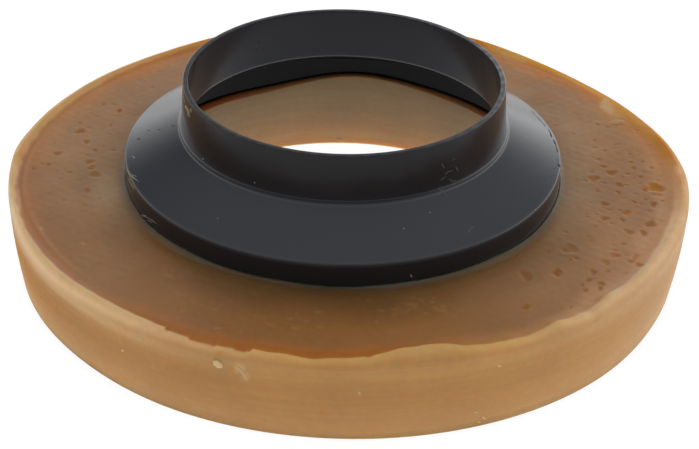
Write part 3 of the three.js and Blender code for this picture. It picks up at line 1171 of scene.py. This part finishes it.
def make_strokes(name, under, strokes, material):
    """Many small marks as one piece. Each lies half sunk along its line on the piece under it and tapers to
    nothing at both ends. Its cross-section is an uneven ellipse, half its width to each side and its height
    out of the surface."""
    tree = BVHTree.FromObject(under, bpy.context.evaluated_depsgraph_get())
    around = (np.arange(stroke_sides) / stroke_sides * full_turn)[None, :, None]
    share = (np.arange(stroke_rings) + 0.5) / stroke_rings
    way = share[:, None, None]
    draw = np.random.default_rng(47)
    bodies = []
    for width, height, line in strokes:
        phase = draw.uniform(0, full_turn, 3)
        wander = np.sin(7 * way + 2 * around + phase[0]) + np.sin(13 * way + phase[1])
        uneven = 1 + stroke_unevenness * (wander + np.sin(3 * around + phase[2])) / 2
        taper = np.sqrt(1 - (2 * way - 1) ** 2) * uneven
        pixels = points_along(line, share)
        places, facing = onto_piece(pixels, tree)
        along = unit(np.gradient(places, axis=0))
        sideways = unit(np.cross(facing, along))
        half_width = seen_half_width(pixels, places, sideways, width)[:, None, None]
        rings = (
            places[:, None]
            + sideways[:, None] * half_width * taper * np.cos(around)
            + facing[:, None] * height * taper * np.sin(around)
        )
        ends = [places[0] - along[0] * stroke_point, places[-1] + along[-1] * stroke_point]
        bodies += [rings.reshape(-1, 3), np.array(ends)]
    mesh = mesh_of(name, np.concatenate(bodies), *stroke_faces(len(strokes)))
    return add_object(name, mesh, material)


# Materials

def start_material(name):
    """A material with an empty node tree."""
    material = bpy.data.materials.new(name)
    material.use_nodes = True
    tree = material.node_tree
    tree.nodes.clear()
    return material, tree


def node(tree, kind, inputs=None, **settings):
    """Adds a node with its settings. Each input is a value, or the output of another node to join to it."""
    made = tree.nodes.new(kind)
    for key, value in settings.items():
        setattr(made, key, value)
    for key, value in (inputs or {}).items():
        if isinstance(value, bpy.types.NodeSocket):
            tree.links.new(value, made.inputs[key])
        else:
            made.inputs[key].default_value = value
    return made


def ramp(tree, factor, stops):
    """A ramp of greys through stops of place and brightness."""
    made = node(tree, "ShaderNodeValToRGB", {"Fac": factor})
    elements = made.color_ramp.elements
    while len(elements) < len(stops):
        elements.new(0.5)
    for element, (place, grey) in zip(elements, stops):
        element.position = place
        element.color = (grey, grey, grey, 1)
    return made.outputs["Color"]


def noise(tree, vector, scale, detail=3.0, roughness=0.5):
    """Noise from about 0 to 1."""
    inputs = {"Vector": vector, "Scale": scale, "Detail": detail, "Roughness": roughness}
    return node(tree, "ShaderNodeTexNoise", inputs).outputs["Fac"]


def mix(tree, factor, first, second):
    """Colour mixed from first to second."""
    return node(tree, "ShaderNodeMix", {0: factor, 6: first, 7: second}, data_type="RGBA").outputs[2]


def calculate(tree, operation, first, second=0.0):
    """Arithmetic on two numbers."""
    return node(tree, "ShaderNodeMath", {0: first, 1: second}, operation=operation).outputs[0]


def product(tree, *values):
    """Numbers multiplied together."""
    total = values[0]
    for value in values[1:]:
        total = calculate(tree, "MULTIPLY", total, value)
    return total


def scaled(tree, value, factor, start=0.0):
    """A number times a factor, on top of a start."""
    return calculate(tree, "ADD", calculate(tree, "MULTIPLY", value, factor), start)


def round_the_wall(tree, place):
    """Places unrolled from the ring: along its circumference, up it, and nothing across it."""
    x, y, z = node(tree, "ShaderNodeSeparateXYZ", {0: place}).outputs
    along = scaled(tree, calculate(tree, "ARCTAN2", y, x), shoulder_radius * metres)
    return node(tree, "ShaderNodeCombineXYZ", {0: along, 1: z}).outputs[0]


def wax_material():
    """Amber petroleum wax: light goes in and comes out redder. The skin is satin, clouded, and faintly
    brushed round the wall."""
    material, tree = start_material("amber_wax")
    place = node(tree, "ShaderNodeTexCoord").outputs["Object"]
    colour = node(tree, "ShaderNodeAttribute", attribute_name="wax_colour").outputs["Color"]
    gloss = node(tree, "ShaderNodeAttribute", attribute_name="wax_gloss").outputs["Fac"]
    cloud = noise(tree, place, scale=60, detail=4)
    speckle = noise(tree, place, scale=700, detail=2)
    grain = noise(tree, place, scale=420, detail=3)
    brushed = {0: round_the_wall(tree, place), "Scale": (30, 900, 1), "Rotation": (0, 0, 0.05)}
    streak_place = node(tree, "ShaderNodeMapping", brushed).outputs["Vector"]
    streak = noise(tree, streak_place, scale=1.0, detail=4, roughness=0.6)
    normal = node(tree, "ShaderNodeNewGeometry").outputs["Normal"]
    up = node(tree, "ShaderNodeSeparateXYZ", {0: normal}).outputs[2]
    on_wall = node(tree, "ShaderNodeMapRange", {0: up, 1: 0.6, 2: 0.2}).outputs[0]
    streaky = product(tree, calculate(tree, "SUBTRACT", streak, 0.5), on_wall)
    clouded = scaled(tree, cloud, factor=0.3, start=0.85)
    speckled = scaled(tree, speckle, factor=0.16, start=0.92)
    tone = product(tree, clouded, speckled, scaled(tree, streaky, factor=0.26, start=1.0))
    toned = node(tree, "ShaderNodeVectorMath", {0: colour, "Scale": tone}, operation="SCALE")
    height = calculate(tree, "ADD", scaled(tree, grain, 0.6), scaled(tree, streaky, 0.8))
    bump = node(tree, "ShaderNodeBump", {"Height": height, "Strength": 0.6, "Distance": 0.00015})
    shader = node(
        tree,
        "ShaderNodeBsdfPrincipled",
        {
            "Base Color": toned.outputs[0],
            "Roughness": scaled(tree, gloss, factor=-0.52, start=0.62),
            "Specular IOR Level": gloss,
            "IOR": 1.44,
            "Subsurface Weight": 1.0,
            "Subsurface Radius": (1.0, 0.45, 0.18),
            "Subsurface Scale": 0.0045,
            "Normal": bump.outputs["Normal"],
        },
        subsurface_method="RANDOM_WALK",
    )
    node(tree, "ShaderNodeOutputMaterial", {"Surface": shader.outputs["BSDF"]})
    return material


def crumb_material(name, colour):
    """Pale wax in crumbs and smears."""
    material, tree = start_material(name)
    inputs = {"Base Color": (*colour, 1), "Roughness": 0.5, "IOR": 1.44}
    shader = node(tree, "ShaderNodeBsdfPrincipled", inputs)
    node(tree, "ShaderNodeOutputMaterial", {"Surface": shader.outputs["BSDF"]})
    return material


def plastic_material():
    """Black moulded plastic, satin, with fine handling marks."""
    material, tree = start_material("black_moulded_plastic")
    place = node(tree, "ShaderNodeTexCoord").outputs["Object"]
    colour = node(tree, "ShaderNodeAttribute", attribute_name="plastic_colour").outputs["Color"]
    gloss = node(tree, "ShaderNodeAttribute", attribute_name="plastic_gloss").outputs["Fac"]
    grain = noise(tree, place, scale=900, detail=2)
    handling = noise(tree, place, scale=60, detail=3)
    bump = node(tree, "ShaderNodeBump", {"Height": grain, "Strength": 0.25, "Distance": 0.00005})
    shader = node(
        tree,
        "ShaderNodeBsdfPrincipled",
        {
            "Base Color": colour,
            "Roughness": scaled(tree, handling, factor=0.12, start=0.13),
            "IOR": 1.42,
            "Specular IOR Level": gloss,
            "Normal": bump.outputs["Normal"],
        },
    )
    node(tree, "ShaderNodeOutputMaterial", {"Surface": shader.outputs["BSDF"]})
    return material


def scuff_material(name, colour):
    """Plastic that was scratched or nicked, dull."""
    material, tree = start_material(name)
    inputs = {"Base Color": (*colour, 1), "Roughness": 0.7}
    shader = node(tree, "ShaderNodeBsdfPrincipled", inputs)
    node(tree, "ShaderNodeOutputMaterial", {"Surface": shader.outputs["BSDF"]})
    return material


# Stage, light and camera

floor_glow = 0.75
floor_paint = 0.85
seen_white = 1.0
seen_share = 0.9  # of the plain white, so that a tenth is the table with the object's shadow on it
# The table doesn't glow where the ring covers it, between these distances from the middle in metres.
covered_from = 0.043
covered_to = 0.070
covered_fade = 0.002

# How bright the surroundings are on each side: the sine of the height above the horizon, and the brightness
# there
left_sky = [
    (0.05, 1.2), (0.16, 0.75), (0.28, 0.35), (0.45, 0.2), (0.6, 0.34), (0.74, 0.55), (0.88, 0.7),
    (1.0, 0.76),
]
right_sky = [
    (0.05, 2.1), (0.18, 1.55), (0.34, 0.75), (0.5, 0.5), (0.64, 0.58), (0.77, 0.68), (0.88, 0.74),
    (1.0, 0.76),
]
back_sky = [(0.05, 1.5), (0.16, 1.05), (0.4, 0.7), (0.55, 0.7), (0.7, 0.7), (0.85, 0.7), (1.0, 0.76)]
front_sky = [(0.0, 0.3), (0.5, 0.2), (0.75, 0.35), (0.95, 0.7), (1.0, 0.74)]


def make_floor():
    """A white floor. Seen straight or in a reflection it is the white background with the object's soft
    shadow on it, and to all other light it is a white table that glows."""
    half = 2.0
    corners = [(-half, -half, 0), (half, -half, 0), (half, half, 0), (-half, half, 0)]
    mesh = bpy.data.meshes.new("floor")
    mesh.from_pydata(corners, [], [(0, 1, 2, 3)])
    floor = bpy.data.objects.new("floor", mesh)
    bpy.context.scene.collection.objects.link(floor)
    material, tree = start_material("white_floor")
    white = (1, 1, 1, 1)
    table_paint = node(tree, "ShaderNodeBsdfDiffuse", {"Color": (floor_paint, floor_paint, floor_paint, 1)})
    place = node(tree, "ShaderNodeTexCoord").outputs["Object"]
    distance = node(tree, "ShaderNodeVectorMath", {0: place}, operation="LENGTH").outputs["Value"]
    outside = node(tree, "ShaderNodeMapRange", {0: distance, 1: covered_to - covered_fade, 2: covered_to})
    within = node(tree, "ShaderNodeMapRange", {0: distance, 1: covered_from + covered_fade, 2: covered_from})
    open_table = calculate(tree, "MAXIMUM", outside.outputs[0], within.outputs[0])
    table_glow = scaled(tree, open_table, floor_glow)
    glow = node(tree, "ShaderNodeEmission", {"Color": white, "Strength": table_glow})
    table = node(tree, "ShaderNodeAddShader", {0: table_paint.outputs[0], 1: glow.outputs[0]})
    backdrop = node(tree, "ShaderNodeEmission", {"Color": white, "Strength": seen_white})
    path = node(tree, "ShaderNodeLightPath").outputs
    seen = calculate(tree, "MAXIMUM", path["Is Camera Ray"], path["Is Glossy Ray"])
    seen = calculate(tree, "MAXIMUM", seen, path["Is Transmission Ray"])
    share = product(tree, seen, seen_share)
    both = node(tree, "ShaderNodeMixShader", {0: share, 1: table.outputs[0], 2: backdrop.outputs[0]})
    node(tree, "ShaderNodeOutputMaterial", {"Surface": both.outputs[0]})
    mesh.materials.append(material)


def make_world():
    """Studio surroundings: a white horizon, dim walls above it and a soft bright ceiling. The right is
    brighter than the left, and the side behind the camera is dimmer than both."""
    world = bpy.data.worlds.new("studio")
    bpy.context.scene.world = world
    world.use_nodes = True
    tree = world.node_tree
    tree.nodes.clear()
    heading = node(tree, "ShaderNodeSeparateXYZ", {0: node(tree, "ShaderNodeTexCoord").outputs["Generated"]})
    across, along, up = heading.outputs
    smooth = {"interpolation_type": "SMOOTHSTEP"}
    rightness = node(tree, "ShaderNodeMapRange", {0: across, 1: -0.5, 2: 0.6}, **smooth).outputs[0]
    backness = node(tree, "ShaderNodeMapRange", {0: along, 1: 0.7, 2: 0.95}, **smooth).outputs[0]
    frontness = node(tree, "ShaderNodeMapRange", {0: along, 1: 0.1, 2: -0.8}, **smooth).outputs[0]
    backness = product(tree, backness, scaled(tree, rightness, factor=-0.7, start=1.0))
    studio = mix(tree, rightness, ramp(tree, up, left_sky), ramp(tree, up, right_sky))
    studio = mix(tree, backness, studio, ramp(tree, up, back_sky))
    studio = mix(tree, frontness, studio, ramp(tree, up, front_sky))
    lit = node(tree, "ShaderNodeBackground", {"Color": studio, "Strength": 1.0}).outputs[0]
    white = node(tree, "ShaderNodeBackground", {"Color": (1, 1, 1, 1), "Strength": 1.0}).outputs[0]
    from_camera = node(tree, "ShaderNodeLightPath").outputs["Is Camera Ray"]
    both = node(tree, "ShaderNodeMixShader", {0: from_camera, 1: lit, 2: white})
    node(tree, "ShaderNodeOutputWorld", {"Surface": both.outputs[0]})


def make_camera():
    """The photograph's camera."""
    data = bpy.data.cameras.new("camera")
    data.lens = lens
    data.sensor_width = sensor_width
    data.clip_start = 0.01
    data.clip_end = 20
    camera = bpy.data.objects.new("camera", data)
    camera.matrix_world = Matrix.Translation(camera_place * metres) @ camera_turn.to_4x4()
    bpy.context.scene.collection.objects.link(camera)
    bpy.context.scene.camera = camera


bpy.context.scene.view_settings.view_transform = "Standard"
make_camera()
make_floor()
make_world()
ring = make_wax(wax_material())
horn = make_horn(plastic_material())
bpy.context.view_layer.update()
pale_wax = crumb_material("pale_wax", linear(214, 178, 122))
grey_wax = crumb_material("grey_wax", linear(150, 150, 140))
dull_wax = crumb_material("dull_wax", linear(124, 116, 74))
scuffed_grey = scuff_material("scuffed_plastic", linear(86, 88, 92))
nicked_dark = scuff_material("nicked_plastic", linear(30, 31, 34))
make_strokes("wax_crumbs", ring, crumbs_on_wax, pale_wax)
make_strokes("wax_smears", horn, smears_on_horn, grey_wax)
make_strokes("wax_lumps", horn, lumps_on_horn, dull_wax)
make_strokes("horn_scratches", horn, scratches_on_horn, scuffed_grey)
make_strokes("horn_nicks", horn, nicks_on_horn, nicked_dark)
